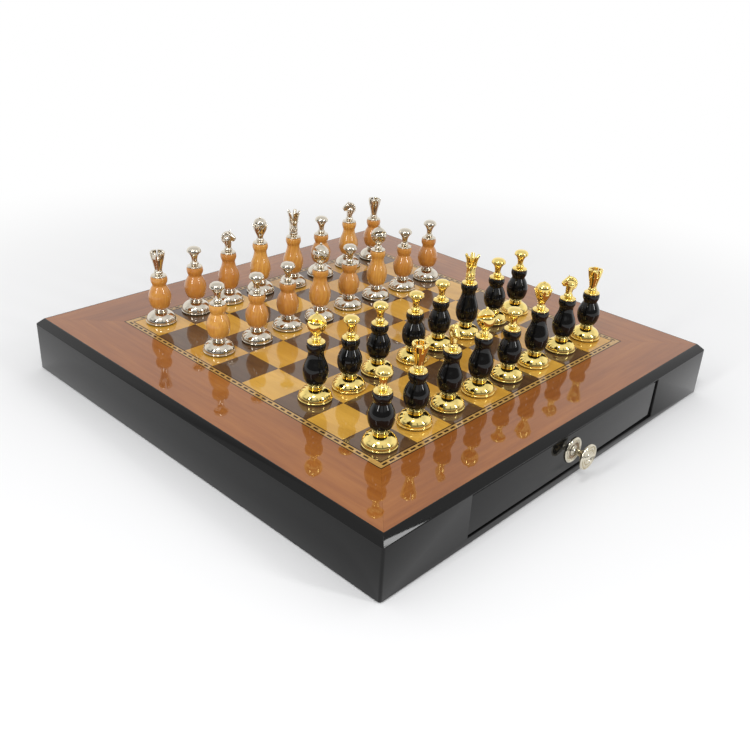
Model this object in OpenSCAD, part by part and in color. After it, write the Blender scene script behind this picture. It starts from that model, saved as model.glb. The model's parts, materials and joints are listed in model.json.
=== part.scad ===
// Lacquered chess box: an inlaid board on a low case, a drawer in the front and one in
// the back for the two sides' men, and thirty-two turned chessmen standing on the board.
// Millimetres, +Z up. The origin is the middle of the felt underside, on the table.

/* [Case] */
// Side of the square case
case_side = 400; // [376:1:440]
// Height of the case above its felt
case_h = 45; // [43:0.5:60]
// Thickness of the side, front and back boards
board_t = 12; // [8:0.5:16]
// Radius of the case's upright corners
corner_r = 2; // [0.5:0.5:4]
// Thickness of the panel that carries the inlay
top_t = 6; // [5.8:0.1:8]
// Width of the 45 degree chamfer round the top panel
rim_chamfer = 5.5; // [2:0.1:5.5]
// Flat lip left between the chamfer and the veneer
rim_lip = 0.5; // [0.3:0.1:2]
// Thickness of the bottom panel
base_t = 3; // [2:0.5:4]
// Height of the rail below each drawer
rail_h = 5; // [4.5:0.5:7]
// Thickness of the felt on the underside
felt_t = 1; // [0.5:0.1:2]
// How far the felt stays in from the case's edge
felt_inset = 4; // [1:0.5:10]

/* [Inlay] */
// Side of one square of the board
square_side = 35.5; // [32:0.5:37]
// Thickness of the veneers
veneer_t = 0.8; // [0.5:0.1:1.2]
// Glue line left between two glued pieces
glue = 0.04; // [0.02:0.01:0.1]
// Width of each dark string of the banding
string_w = 0.9; // [0.4:0.05:1.2]
// Width of the pale edge on each side of the dashes
pale_w = 1.35; // [0.6:0.05:1.6]
// Width of the row of dashes
dash_w = 1.7; // [1:0.1:2.5]
// Length of one dash
dash_len = 4.5; // [3:0.1:5]
// Distance from one dash to the next
dash_pitch = 6.83; // [6:0.01:9]
// Distance of a strip's first dash from the corner
dash_first = 3.5; // [3:0.1:5]

/* [Drawers] */
// Width of a drawer's face
face_w = 237.4; // [200:0.2:260]
// Gap round a drawer's face
face_gap = 0.5; // [0.3:0.1:1]
// How far a face stands back from the case
face_recess = 1; // [0.5:0.1:2]
// Thickness of a drawer's face
face_t = 12; // [8:0.5:14]
// Thickness of a drawer's sides and back
wall_t = 6; // [4:0.5:8]
// Step from the end of the face in to the drawer's side
side_step = 3.7; // [3:0.1:8]
// Gap between a drawer and its guides
side_gap = 0.5; // [0.3:0.1:1]
// Gap between a drawer and its runners
run_gap = 0.3; // [0.1:0.1:0.5]
// How far a drawer's walls end below the top panel
head_room = 4; // [2:0.5:8]
// Thickness of a drawer's bottom
bottom_t = 3; // [2:0.5:4]
// Height of the bottom above the drawer's lower edge
bottom_lift = 0.6; // [0.4:0.1:2]
// Thickness of the drawer's felt lining
lining_t = 1; // [0.5:0.1:1.5]
// Thickness of the strips that divide a drawer
strip_t = 5; // [3:0.5:8]
// Height of the strips that divide a drawer
strip_h = 18; // [10:0.5:20]
// Thickness of the guides and of the centre divider
guide_t = 6; // [4:0.5:8]
// Width of the runner under each drawer side
runner_w = 9; // [7:0.5:14]

/* [Knobs] */
// Diameter of the plate behind a knob
plate_d = 20.2; // [14:0.2:24]
// Thickness of the plate
plate_t = 1.6; // [1:0.1:2.5]
// Diameter of the knob's disc
knob_d = 20; // [14:0.5:26]
// Thickness of the knob's disc at its edge
knob_t = 3; // [2:0.1:4]
// Distance from the drawer's face to the front of the knob
knob_reach = 14.5; // [12:0.5:20]
// Diameter of the knob's neck
neck_d = 6.4; // [6:0.2:9]
// Diameter of the screw that holds the knob
screw_d = 4; // [3:0.5:4.5]
// Clearance of the screw in its hole, on the radius
screw_fit = 0.1; // [0.05:0.05:0.3]
// Diameter of the screw's head
screw_head_d = 8; // [6:0.5:10]
// Thickness of the screw's head
screw_head_t = 2.2; // [1.5:0.1:3]

/* [Chessmen] */
// Diameter of the metal base of every man
foot_d = 25.2; // [22:0.2:27]
// Height of the metal base with its pad
foot_h = 12.2; // [10.5:0.1:14]
// Thickness of the felt pad under a man
pad_t = 0.8; // [0.5:0.1:1.2]
// How far the pad stays in from the base's edge
pad_inset = 0.8; // [0.3:0.1:2]
// Diameter of the neck of the metal base
foot_neck_d = 10.6; // [9:0.2:12]
// Diameter of the wooden belly
belly_d = 18.6; // [15:0.2:22]
// Height of the belly's widest place above the metal base
belly_rise = 10.2; // [9:0.2:11]
// Diameter of the wooden waist
waist_d = 11.2; // [9:0.2:12]
// Diameter of the wooden collar under the head
collar_d = 13.8; // [12:0.2:15]
// Height from the waist to the top of the collar
collar_rise = 7.6; // [6:0.2:9]
// Diameter of the metal plate that the head grows from
plate_under_d = 12.8; // [11:0.2:13.6]
// Height of that plate's edge
plate_under_t = 0.9; // [0.6:0.1:1.4]
// Diameter of the bulb between the plate and the stem
bulb_d = 7.4; // [6:0.2:9]
// Height of the bulb's middle above the wood
bulb_rise = 3.4; // [3:0.1:4.2]
// Height of the stem's foot above the wood
stem_rise = 4.9; // [4.6:0.1:6]
// Diameter of the stem between the bulb and the head
stem_d = 5.2; // [4.5:0.1:6]
// Diameter of a bishop's stem
bishop_stem_d = 4.4; // [4:0.1:5.4]
// Diameter of a king's column
column_d = 6.2; // [5:0.1:6.6]
// Diameter of the pegs that join metal and wood
peg_d = 3.6; // [3:0.1:4]
// Length of those pegs
peg_len = 7; // [4:0.5:8]
// Clearance of a peg in its hole, on the radius
peg_fit = 0.05; // [0.02:0.01:0.1]
// Height of a pawn's wooden part
pawn_wood = 28; // [25:0.1:30]
// Height of a rook's wooden part
rook_wood = 28; // [25:0.1:30]
// Height of a knight's or bishop's wooden part
minor_wood = 32.6; // [30:0.1:36]
// Height of a queen's or king's wooden part
royal_wood = 33.9; // [30:0.1:38]
// Full height of a pawn
pawn_h = 58; // [56:0.5:64]
// Full height of a rook
rook_h = 61.5; // [59:0.5:66]
// Full height of a knight
knight_h = 65; // [64:0.5:70]
// Full height of a bishop
bishop_h = 68; // [66:0.5:74]
// Full height of a queen
queen_h = 70; // [68:0.5:76]
// Full height of a king
king_h = 71; // [69:0.5:80]
// Diameter of a pawn's cap
pawn_cap_d = 11.8; // [9:0.2:13]
// Diameter of a rook's tower
tower_d = 11.6; // [9:0.2:13]
// Diameter of a bishop's mitre
mitre_d = 12.6; // [10:0.2:14]
// Diameter of a queen's coronet at the tips of its points
coronet_d = 14.8; // [13:0.2:16]
// Diameter of the dome inside a queen's coronet
dome_d = 10.2; // [8:0.2:10.8]
// Diameter of a king's crown at the tips of its spikes
king_crown_d = 11.2; // [9.8:0.2:13]
// Diameter of a knight's round crest
crest_d = 11.4; // [9:0.2:12.6]
// Thickness of that crest
crest_t = 4.4; // [3:0.2:5.6]
// Width of a rook's battlement gaps and of a bishop's cleft
cleft_w = 1.8; // [1:0.1:2.2]
// Depth of a rook's battlement gaps
merlon_h = 5; // [3:0.2:6]
// Wall of a rook's tower and of the crowns
crown_wall = 1.3; // [0.8:0.1:1.6]

/* [Hidden] */
// Smoothness of small arcs
arc_fn = 48;
// Straight pieces in each curve of a turned outline
curve_steps = 7;
// Tool passes go this far beyond a face
over = 1;

// Board and banding, from the middle outwards
files = 8;
play_half = files / 2 * square_side;
band_w = 2 * string_w + 2 * pale_w + dash_w;
band_half = play_half + band_w;
dash_half = play_half + band_w / 2;
dash_count = floor((2 * dash_half - dash_first) / dash_pitch);
veneer_half = case_side / 2 - rim_chamfer - rim_lip;

// Heights, from the table up
case_z = felt_t;
board_z = felt_t + case_h;
panel_z = board_z - top_t;
veneer_z = board_z - veneer_t;
floor_z = case_z + base_t;
rail_z = case_z + rail_h;

// A drawer, from the middle of the case to its face
case_half = case_side / 2;
inner_half = case_half - board_t;
face_z0 = rail_z + face_gap;
face_z1 = panel_z - face_gap;
face_y = case_half - face_recess;
box_half = face_w / 2 - side_step;
box_z0 = rail_z + run_gap;
box_z1 = panel_z - head_room;
box_front = face_y - face_t;
box_back = guide_t / 2 + face_gap;
hold_half = box_half - wall_t;
hold_back = box_back + wall_t;
bottom_z = box_z0 + bottom_lift;
lining_z = bottom_z + bottom_t;
strip_z = lining_z + lining_t;
knob_z = (face_z0 + face_z1) / 2;
screw_room = 0.6;

// The men as they stand: rank, colour, a letter for each man from the left file on, and
// how far the whole rank was set down off the middles of its squares in X and Y
ranks = [
    [0, "gold", "prnbpqnr", [0, 1]],
    [2, "gold", "bppppkpp", [1, 1]],
    [5, "silver", "pppbpbpp", [2, 0]],
    [7, "silver", "rpnqkpnr", [0, 5]]
];
// Men that stand off their rank's line: file, rank, and the step in X and Y
off_line = [
    [0, 0, -3.5, -4],
    [6, 0, 4.5, 1],
    [7, 0, 6.5, 1],
    [0, 2, 6, -0.5],
    [1, 2, 1, -4],
    [3, 2, 1, -3],
    [6, 2, 6, 2.5],
    [7, 2, 3.5, 2.5],
    [1, 5, 0.5, -3],
    [3, 5, -2, -3],
    [7, 5, 2, 2.5],
    [4, 7, -1.5, -6],
    [5, 7, 1, -2.5],
    [6, 7, 4, -1],
    [7, 7, 4, 0]
];
// Which way each knight looks: file, rank and the turn about Z
looks = [[2, 0, -115], [6, 0, 130], [2, 7, -45], [6, 7, 140]];

men = [for (r = ranks, f = [0 : files - 1]) [r[1], r[2][f], f, r[0], r[3] + step_of(f, r[0])]];

CASE_NODES = [
    "base_felt", "base_panel", "side_left", "side_right", "front_frame", "back_frame",
    "centre_divider", "drawer_guides", "top_panel", "field_veneer", "banding_dark",
    "banding_pale", "dark_squares", "light_squares",
    "front_drawer_face", "front_drawer_walls", "front_drawer_bottom",
    "front_drawer_lining", "front_drawer_strips", "front_knob_plate", "front_knob",
    "rear_drawer_face", "rear_drawer_walls", "rear_drawer_bottom",
    "rear_drawer_lining", "rear_drawer_strips", "rear_knob_plate", "rear_knob"
];

// ---- names and places of the men ----

function kind_name(k) =
    k == "p" ? "pawn" : k == "r" ? "rook" : k == "n" ? "knight" :
    k == "b" ? "bishop" : k == "q" ? "queen" : "king";

// How many men of the same colour and kind stand up to man n
function same_so_far(n) =
    len([for (m = [0 : n]) if (men[m][0] == men[n][0] && men[m][1] == men[n][1]) m]);

function man_name(n) =
    let (royal = men[n][1] == "q" || men[n][1] == "k")
    str(men[n][0], "_", kind_name(men[n][1]), royal ? "" : str("_", same_so_far(n)));

function step_of(f, r) =
    let (hit = [for (s = off_line) if (s[0] == f && s[1] == r) [s[2], s[3]]])
    len(hit) > 0 ? hit[0] : [0, 0];

function look_of(f, r) =
    let (hit = [for (s = looks) if (s[0] == f && s[1] == r) s[2]])
    len(hit) > 0 ? hit[0] : 0;

function square_mid(k) = (k - (files - 1) / 2) * square_side;

// ---- turned outlines: points are [radius, height] ----

// A cosine bend from one point to the next, upright at both ends
function bend(r0, z0, r1, z1) = [for (k = [1 : curve_steps])
    [r0 + (r1 - r0) * (1 - cos(180 * k / curve_steps)) / 2, z0 + (z1 - z0) * k / curve_steps]];

// A cubic curve from p to s, pulled towards q and r on the way
function pulled(p, q, r, s) = [for (k = [1 : curve_steps])
    let (t = k / curve_steps, u = 1 - t)
    u * u * u * p + 3 * u * u * t * q + 3 * u * t * t * r + t * t * t * s];

// A quarter of an ellipse that leaves level and ends upright
function swell(r0, z0, r1, z1) = [for (k = [1 : curve_steps])
    [r0 + (r1 - r0) * sin(90 * k / curve_steps), z1 - (z1 - z0) * cos(90 * k / curve_steps)]];

// A quarter of an ellipse that leaves upright and ends level
function crown(r0, z0, r1, z1) = [for (k = [1 : curve_steps])
    [r1 + (r0 - r1) * cos(90 * k / curve_steps), z0 + (z1 - z0) * sin(90 * k / curve_steps)]];

module turned(points) {
    rotate_extrude($fn = arc_fn)
        polygon(points);
}

// ---- case ----

module plan_square(side, r) {
    square([side, side - 2 * r], center = true);
    square([side - 2 * r, side], center = true);
    for (sx = [-1, 1], sy = [-1, 1])
        translate([sx * (side / 2 - r), sy * (side / 2 - r)])
            circle(r, $fn = arc_fn);
}

// A board along the front edge, mitred at both ends
module mitred_board(inner, outer, z0, z1, joint = 0) {
    translate([0, 0, z0])
        linear_extrude(z1 - z0)
            polygon([
                [-outer + joint, -outer], [outer - joint, -outer],
                [inner - joint, -inner], [-inner + joint, -inner]
            ]);
}

// One wall of the case, with its upright corners rounded
module case_wall() {
    intersection() {
        mitred_board(inner_half, case_half, case_z, panel_z);
        translate([0, 0, case_z])
            linear_extrude(panel_z - case_z)
                plan_square(case_side, corner_r);
    }
}

module base_felt() {
    color("darkgreen")
        linear_extrude(felt_t)
            plan_square(case_side - 2 * felt_inset, corner_r);
}

module base_panel() {
    color("burlywood")
        translate([0, 0, case_z + base_t / 2])
            cube([2 * inner_half, 2 * inner_half, base_t], center = true);
}

module side_left() {
    color("#1c1c1a")
        rotate(-90)
            case_wall();
}

module side_right() {
    color("#1c1c1a")
        rotate(90)
            case_wall();
}

// The front wall with the opening that its drawer fills
module drawer_wall() {
    open_w = face_w + 2 * face_gap;
    difference() {
        case_wall();
        translate([-open_w / 2, -case_half - over, rail_z])
            cube([open_w, board_t + 2 * over, panel_z - rail_z + over]);
    }
}

module front_frame() {
    color("#1c1c1a")
        drawer_wall();
}

module back_frame() {
    color("#1c1c1a")
        rotate(180)
            drawer_wall();
}

module centre_divider() {
    color("burlywood")
        translate([-inner_half, -guide_t / 2, floor_z])
            cube([2 * inner_half, guide_t, panel_z - floor_z]);
}

// Upright guides beside each drawer and a runner under each drawer side
module drawer_guides() {
    guide_x = box_half + side_gap;
    start = box_front - face_gap;
    channel = start - guide_t / 2;
    color("tan")
        for (turn = [0, 180], side = [0, 1])
            rotate(turn)
                mirror([side, 0, 0]) {
                    translate([guide_x, -start, floor_z])
                        cube([guide_t, channel, panel_z - floor_z]);
                    translate([guide_x - runner_w, -start, floor_z])
                        cube([runner_w - glue, channel, rail_z - floor_z]);
                }
}

module panel_section() {
    edge = case_half - rim_chamfer;
    polygon([
        [-case_half, panel_z], [case_half, panel_z],
        [case_half, board_z - rim_chamfer], [edge, board_z],
        [-edge, board_z], [-case_half, board_z - rim_chamfer]
    ]);
}

module top_panel() {
    color("#1c1c1a")
        difference() {
            intersection() {
                translate([0, 0, panel_z])
                    linear_extrude(top_t)
                        plan_square(case_side, corner_r);
                rotate([90, 0, 0])
                    linear_extrude(case_side + 2 * over, center = true)
                        panel_section();
                rotate([90, 0, 90])
                    linear_extrude(case_side + 2 * over, center = true)
                        panel_section();
            }
            translate([-veneer_half, -veneer_half, veneer_z])
                cube([2 * veneer_half, 2 * veneer_half, veneer_t + over]);
        }
}

// ---- inlay ----

module ring(outer, inner) {
    translate([0, 0, veneer_z])
        linear_extrude(veneer_t)
            difference() {
                square(2 * outer, center = true);
                square(2 * inner, center = true);
            }
}

module field_veneer() {
    color("#96582c")
        for (turn = [0 : 90 : 270])
            rotate(turn)
                mitred_board(band_half, veneer_half, veneer_z, board_z, glue);
}

// The row of dashes, each one less wide and long by twice the play
module dashes(play, lift) {
    size = [dash_len - 2 * play, dash_w - 2 * play, veneer_t + lift];
    for (turn = [0 : 90 : 270], k = [0 : dash_count - 1])
        rotate(turn)
            translate([dash_first + k * dash_pitch - dash_half, -dash_half, veneer_z])
                translate([-size[0] / 2, -size[1] / 2, 0])
                    cube(size);
}

module banding_dark() {
    color("#3a2412") {
        ring(band_half, band_half - string_w);
        ring(play_half + string_w, play_half);
        dashes(glue, 0);
    }
}

module banding_pale() {
    color("#e6c88c")
        difference() {
            ring(band_half - string_w, play_half + string_w);
            translate([0, 0, -over / 2])
                dashes(0, over);
        }
}

// The squares whose file and rank add up to an even or an odd number
module squares(odd) {
    leaf = square_side - 2 * glue;
    for (f = [0 : files - 1], r = [0 : files - 1])
        if ((f + r) % 2 == odd)
            translate([square_mid(f) - leaf / 2, square_mid(r) - leaf / 2, veneer_z])
                cube([leaf, leaf, veneer_t]);
}

module dark_squares() {
    color("#6b4426")
        squares(0);
}

module light_squares() {
    color("#d09a44")
        squares(1);
}

// ---- drawers: each is modelled at the front, and the rear one is turned round ----

module drawer_face() {
    color("#1c1c1a")
        difference() {
            translate([-face_w / 2, -face_y, face_z0])
                cube([face_w, face_t, face_z1 - face_z0]);
            translate([0, -face_y - over, knob_z])
                rotate([-90, 0, 0])
                    cylinder(face_t + 2 * over, r = screw_d / 2 + screw_fit, $fn = arc_fn);
        }
}

module drawer_walls() {
    wall_h = box_z1 - box_z0;
    color("tan") {
        for (side = [0, 1])
            mirror([side, 0, 0])
                translate([hold_half, -box_front, box_z0])
                    cube([wall_t, box_front - box_back, wall_h]);
        translate([-hold_half + glue, -hold_back, box_z0])
            cube([2 * (hold_half - glue), wall_t, wall_h]);
    }
}

module drawer_bottom() {
    color("burlywood")
        translate([-hold_half, -box_front, bottom_z])
            cube([2 * hold_half, box_front - hold_back, bottom_t]);
}

module drawer_lining() {
    color("darkgreen")
        translate([-hold_half, -box_front, lining_z])
            cube([2 * hold_half, box_front - hold_back, lining_t]);
}

// Two strips halved into each other where they cross, the long one cut back at the screw
module drawer_strips() {
    mid_y = -(box_front + hold_back) / 2;
    notch = strip_t + 2 * glue;
    color("tan") {
        difference() {
            translate([-hold_half, mid_y - strip_t / 2, strip_z])
                cube([2 * hold_half, strip_t, strip_h]);
            translate([-notch / 2, mid_y - notch / 2, strip_z + strip_h / 2])
                cube([notch, notch, strip_h]);
        }
        difference() {
            translate([-strip_t / 2, -box_front, strip_z])
                cube([strip_t, box_front - hold_back, strip_h]);
            translate([-notch / 2, mid_y - notch / 2, strip_z - strip_h / 2 + glue])
                cube([notch, notch, strip_h]);
            translate([-strip_t, -box_front - over, knob_z - screw_head_d / 2 - screw_room])
                cube([2 * strip_t, screw_head_t + screw_room + over, strip_h]);
        }
    }
}

// Turned work on a drawer's face: height runs outwards from the face
module on_face() {
    translate([0, -face_y, knob_z])
        rotate([90, 0, 0])
            children();
}

// A stepped rosette: a beaded rim, a hollow and a raised ring round the neck
module knob_plate() {
    rim = plate_d / 2;
    hole = neck_d / 2 + screw_fit;
    color("#d8cfc0")
        on_face()
            turned([
                [hole, 0], [rim, 0], [rim, plate_t * 0.4],
                [rim * 0.94, plate_t * 0.75], [rim * 0.86, plate_t * 0.75],
                [rim * 0.8, plate_t * 0.45], [rim * 0.6, plate_t * 0.45],
                [rim * 0.54, plate_t], [hole, plate_t]
            ]);
}

// The knob and, as a solid of its own, the screw that comes through the face
module knob() {
    rim = knob_d / 2;
    neck = neck_d / 2;
    back = knob_reach - knob_t;
    bore = screw_d / 2 + screw_fit;
    bore_end = back * 0.7;
    shank = concat(
        [[0, bore_end], [bore, bore_end], [bore, 0], [neck, 0], [neck, back * 0.45]],
        bend(neck, back * 0.45, neck * 0.75, back * 0.65),
        bend(neck * 0.75, back * 0.65, rim * 0.55, back)
    );
    disc = [
        [rim * 0.95, back], [rim, back + knob_t * 0.3], [rim, back + knob_t * 0.6],
        [rim * 0.93, back + knob_t * 0.9], [rim * 0.82, back + knob_t * 0.9],
        [rim * 0.76, back + knob_t * 0.65], [rim * 0.56, back + knob_t * 0.65]
    ];
    boss = crown(rim * 0.5, back + knob_t * 0.8, 0, knob_reach);
    color("#d8cfc0")
        on_face() {
            turned(concat(shank, disc, boss));
            translate([0, 0, -face_t])
                cylinder(face_t + bore_end - over, r = screw_d / 2, $fn = arc_fn);
            translate([0, 0, -face_t - screw_head_t])
                cylinder(screw_head_t, r = screw_head_d / 2, $fn = arc_fn);
        }
}

module front_drawer_face() { drawer_face(); }
module front_drawer_walls() { drawer_walls(); }
module front_drawer_bottom() { drawer_bottom(); }
module front_drawer_lining() { drawer_lining(); }
module front_drawer_strips() { drawer_strips(); }
module front_knob_plate() { knob_plate(); }
module front_knob() { knob(); }
module rear_drawer_face() { rotate(180) drawer_face(); }
module rear_drawer_walls() { rotate(180) drawer_walls(); }
module rear_drawer_bottom() { rotate(180) drawer_bottom(); }
module rear_drawer_lining() { rotate(180) drawer_lining(); }
module rear_drawer_strips() { rotate(180) drawer_strips(); }
module rear_knob_plate() { rotate(180) knob_plate(); }
module rear_knob() { rotate(180) knob(); }

// ---- chessmen ----

module pad() {
    color("darkgreen")
        cylinder(pad_t - glue, r = foot_d / 2 - pad_inset, $fn = arc_fn);
}

// The domed base with two beads on its neck and the peg for the wood
module foot() {
    rim = foot_d / 2;
    neck = foot_neck_d / 2;
    edge = 0.6;
    edge_z = pad_t + 2 * edge;
    bead_h = 1.2;
    waist_in = 0.5;
    dome_z = foot_h - 2.3 * bead_h;
    turned(concat(
        [[0, pad_t], [rim - edge, pad_t], [rim, pad_t + edge], [rim, edge_z]],
        pulled([rim, edge_z], [rim, dome_z - 2.6], [neck + 3.6, dome_z - 0.7], [neck - waist_in, dome_z]),
        swell(neck - waist_in, dome_z, neck + waist_in, dome_z + bead_h / 2),
        crown(neck + waist_in, dome_z + bead_h / 2, neck - waist_in, dome_z + bead_h),
        swell(neck - waist_in, dome_z + bead_h, neck, dome_z + 1.6 * bead_h),
        crown(neck, dome_z + 1.6 * bead_h, neck - 2 * waist_in, foot_h),
        [[peg_d / 2, foot_h], [peg_d / 2, foot_h + peg_len], [0, foot_h + peg_len]]
    ));
}

// The turned wood from the base up to the collar, with a hole for a peg at each end.
// A shoulder pulls the belly out to a ball under the waist; with none it is a pear.
module wood(wood_h, shoulder) {
    seat = foot_h + glue;
    top = foot_h + wood_h;
    heel = foot_neck_d / 2 - 1;
    belly = belly_d / 2;
    belly_z = foot_h + belly_rise;
    waist = waist_d / 2;
    waist_z = top - collar_rise;
    collar = collar_d / 2;
    hole = peg_d / 2 + peg_fit;
    hole_len = peg_len + peg_fit;
    turned(concat(
        [[0, foot_h + hole_len], [hole, foot_h + hole_len], [hole, seat], [heel, seat]],
        pulled([heel, seat], [heel + 3, seat + 0.2], [belly, belly_z - 4.6], [belly, belly_z]),
        pulled([belly, belly_z], [belly, belly_z + 7.2 - 2 * shoulder],
            [waist + shoulder, waist_z - 6.4 + 2 * shoulder], [waist, waist_z]),
        pulled([waist, waist_z], [waist, waist_z + 1.8], [collar, top - 5], [collar, top - 2.8]),
        crown(collar, top - 2.8, collar - 0.7, top),
        [[hole, top], [hole, top - hole_len], [0, top - hole_len]]
    ));
}

// Every head starts as a peg and a flared plate with a bulb on it, up to its stem
function head_start(top, stem) =
    let (
        seat = top + glue, rim = plate_under_d / 2, edge = 0.4,
        plate_z = top + plate_under_t, bulb = bulb_d / 2, bulb_z = top + bulb_rise,
        dip = 0.4, dip_z = bulb_z - 1
    )
    concat(
        [[0, top - peg_len], [peg_d / 2, top - peg_len], [peg_d / 2, seat], [rim - edge, seat]],
        swell(rim - edge, seat, rim, plate_z),
        pulled([rim, plate_z], [rim - 1, plate_z + 0.7], [bulb - dip, plate_z + 0.5], [bulb - dip, dip_z]),
        swell(bulb - dip, dip_z, bulb, bulb_z),
        crown(bulb, bulb_z, stem, top + stem_rise)
    );

// A trumpet with a domed cap
module pawn_head(top) {
    stem = stem_d / 2;
    stem_z = top + stem_rise;
    cap = pawn_cap_d / 2;
    cap_z = pawn_h - 4.2;
    turned(concat(
        head_start(top, stem),
        pulled([stem, stem_z], [stem, stem_z + 4.4], [0.6 * cap, cap_z - 2.6], [cap, cap_z]),
        pulled([cap, cap_z], [cap, cap_z + 2.8], [0.6 * cap, pawn_h], [0, pawn_h])
    ));
}

// A flared tower, hollow at the top, cut into six tall battlements
module rook_head(top) {
    stem = stem_d / 2;
    stem_z = top + stem_rise;
    tower = tower_d / 2;
    hollow = tower - crown_wall;
    well = 0.55 * tower;
    well_z = rook_h - merlon_h - 1;
    merlons = 6;
    difference() {
        turned(concat(
            head_start(top, stem),
            pulled([stem, stem_z], [stem, stem_z + 4], [0.7 * tower, rook_h - 9],
                [tower - 0.4, rook_h - 3]),
            [[tower, rook_h], [hollow, rook_h], [well, well_z], [0, well_z - 0.6]]
        ));
        for (k = [0 : merlons - 1])
            rotate(k * 360 / merlons)
                translate([well - over, -cleft_w / 2, rook_h - merlon_h])
                    cube([tower + over, cleft_w, merlon_h + over]);
    }
}

// A goblet and a dome over it, with a bead on top and a slanting cleft
module bishop_head(top) {
    stem = bishop_stem_d / 2;
    stem_z = top + stem_rise;
    mitre = mitre_d / 2;
    bead = 1.3;
    bead_z = bishop_h - 1.6;
    neck = bead - 0.3;
    mitre_z = bead_z - 7.4;
    difference() {
        turned(concat(
            head_start(top, stem),
            pulled([stem, stem_z], [stem, stem_z + 3.1], [mitre, stem_z + 3.5], [mitre, mitre_z]),
            pulled([mitre, mitre_z], [mitre, mitre_z + 4.6], [3.4, bead_z - 0.8], [neck, bead_z]),
            swell(neck, bead_z, bead, bead_z + 0.6),
            crown(bead, bead_z + 0.6, 0, bishop_h)
        ));
        translate([0.6, 0, mitre_z])
            rotate([0, -40, 0])
                translate([0, -mitre_d, -cleft_w / 2])
                    cube([mitre_d, 2 * mitre_d, cleft_w]);
    }
}

// A wedge that opens upwards, for the gaps between the points of a crown
module wedge_cut(apex_z, end_z, half_w) {
    rotate([90, 0, 90])
        linear_extrude(coronet_d)
            polygon([[0, apex_z], [half_w, end_z], [-half_w, end_z]]);
}

// A goblet with a coronet of points leaning out round a dome with a bead on it
module queen_head(top) {
    stem = stem_d / 2;
    stem_z = top + stem_rise;
    tip = coronet_d / 2;
    tip_z = queen_h - 5.8;
    dome = dome_d / 2;
    root = dome + crown_wall;
    root_z = tip_z - 3.4;
    bead = 1.4;
    bead_z = queen_h - 1.4;
    neck = bead - 0.4;
    points = 8;
    gap = tip * sin(180 / points) - 0.25;
    difference() {
        turned(concat(
            head_start(top, stem),
            pulled([stem, stem_z], [stem, stem_z + 3], [root - 1, root_z - 4.5], [root, root_z]),
            [[tip, tip_z], [tip - crown_wall, tip_z], [dome, root_z]],
            crown(dome, root_z + 0.4, neck, bead_z - 0.8),
            swell(neck, bead_z - 0.8, bead, bead_z),
            crown(bead, bead_z, 0, queen_h)
        ));
        for (k = [0 : points - 1])
            rotate(k * 360 / points)
                translate([dome + glue, 0, 0])
                    wedge_cut(root_z - 0.4, tip_z + over, gap * (tip_z + over - root_z) / (tip_z - root_z));
    }
}

// A column with a band, and an open crown of five spikes that bend outwards
module king_head(top) {
    stem = column_d / 2;
    stem_z = top + stem_rise;
    band_z = king_h - 12.5;
    root = stem + 0.6;
    root_z = band_z + 1;
    tip = king_crown_d / 2;
    well = root - crown_wall;
    well_z = root_z + 2;
    spikes = 5;
    gap = tip * sin(180 / spikes) - 0.3;
    difference() {
        turned(concat(
            head_start(top, stem),
            [[stem, band_z - 0.8]],
            swell(stem, band_z - 0.8, root, band_z),
            crown(root, band_z, root - 0.4, root_z),
            pulled([root - 0.4, root_z], [root - 0.4, king_h - 7], [tip - 1.4, king_h - 3], [tip, king_h]),
            [[tip - crown_wall, king_h]],
            pulled([tip - crown_wall, king_h], [tip - crown_wall - 1.4, king_h - 3], [well, king_h - 6],
                [well, well_z]),
            [[0, well_z - 0.4]]
        ));
        for (k = [0 : spikes - 1])
            rotate(k * 360 / spikes)
                wedge_cut(root_z + 0.8, king_h + over, gap);
    }
}

// A horse's head: a thick round crest with a notched mane at the back, and in front of
// it the bowed face down to the muzzle, with ears and a mouth
module knight_head(top) {
    stem = stem_d / 2;
    stem_z = top + stem_rise;
    crest = crest_d / 2;
    ear_h = 1.8;
    crest_z = knight_h - 1.3 - crest;
    brow = [0.4 * crest, 0, crest_z + 0.44 * crest];
    nose = [1.1 * crest, 0, crest_z - 0.34 * crest];
    jaw = [0.3 * crest, 0, crest_z - 0.5 * crest];
    locks = 8;
    lock_w = 0.5;
    turned(concat(head_start(top, stem), [[stem, crest_z - 0.7 * crest], [0, crest_z - 0.7 * crest]]));
    difference() {
        translate([0, 0, crest_z])
            rotate([90, 0, 0])
                crest_disc(crest);
        for (k = [0 : locks - 1])
            translate([0, 0, crest_z])
                rotate([0, -100 - k * 130 / (locks - 1), 0])
                    translate([crest - 1.1, -crest_t, -lock_w / 2])
                        cube([crest_t, 2 * crest_t, lock_w]);
    }
    difference() {
        union() {
            blend(brow, 2.3, nose, 1.6);
            blend(jaw, 2, nose, 1.5);
        }
        translate([nose[0] + 1, 0, nose[2] - 0.5])
            rotate([0, 50, 0])
                cube([3, crest, lock_w], center = true);
    }
    for (side = [-1, 1])
        translate([0.22 * crest, side * 1.1, knight_h - ear_h])
            cylinder(ear_h, 0.9, 0.2, $fn = arc_fn);
}

// A disc that is thickest in the middle, with a rounded rim
module crest_disc(r) {
    half = crest_t / 2;
    rim = 0.7 * half;
    turned([
        [0, -half], [0.6 * r, -half], [0.9 * r, -rim], [r, -rim / 2],
        [r, rim / 2], [0.9 * r, rim], [0.6 * r, half], [0, half]
    ]);
}

module blend(from, from_r, to, to_r) {
    hull() {
        translate(from)
            sphere(from_r, $fn = 12);
        translate(to)
            sphere(to_r, $fn = 12);
    }
}

module head(kind, top) {
    if (kind == "p") pawn_head(top);
    if (kind == "r") rook_head(top);
    if (kind == "n") knight_head(top);
    if (kind == "b") bishop_head(top);
    if (kind == "q") queen_head(top);
    if (kind == "k") king_head(top);
}

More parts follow.
